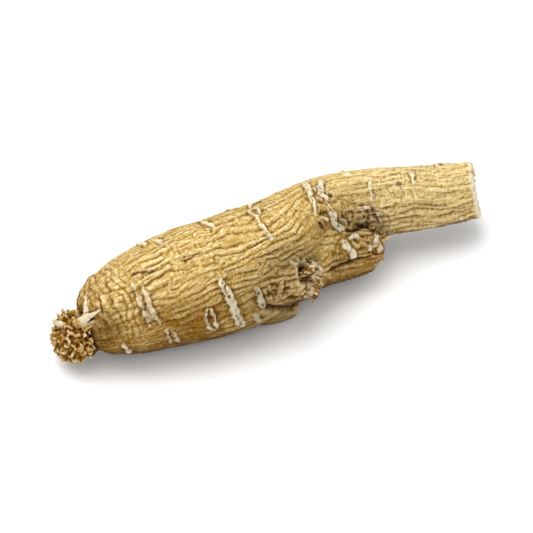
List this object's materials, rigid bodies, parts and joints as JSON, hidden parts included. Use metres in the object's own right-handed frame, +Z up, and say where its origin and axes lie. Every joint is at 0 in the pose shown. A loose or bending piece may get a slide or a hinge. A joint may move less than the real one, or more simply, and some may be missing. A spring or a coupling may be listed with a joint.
{
  "type": "dried ginseng root",
  "caption": "Dried ginseng root: a spindle body with a scaly crown knob at one end, broken side roots and a tail cut square, lying on its belly.",
  "frame": {"origin": "centre of the underside of the root's bounding box, on the surface it rests on", "axes": "+X from the crown knob to the cut tail, along the root; +Z up"},
  "size_m": [0.0672, 0.019, 0.0161],
  "materials": {
    "dried_root_skin": "matte dried root skin, pale tan with brown furrows and cream scars"
  },
  "bodies": {
    "root": {"ginseng_root": "dried_root_skin"}
  },
  "joints": []
}
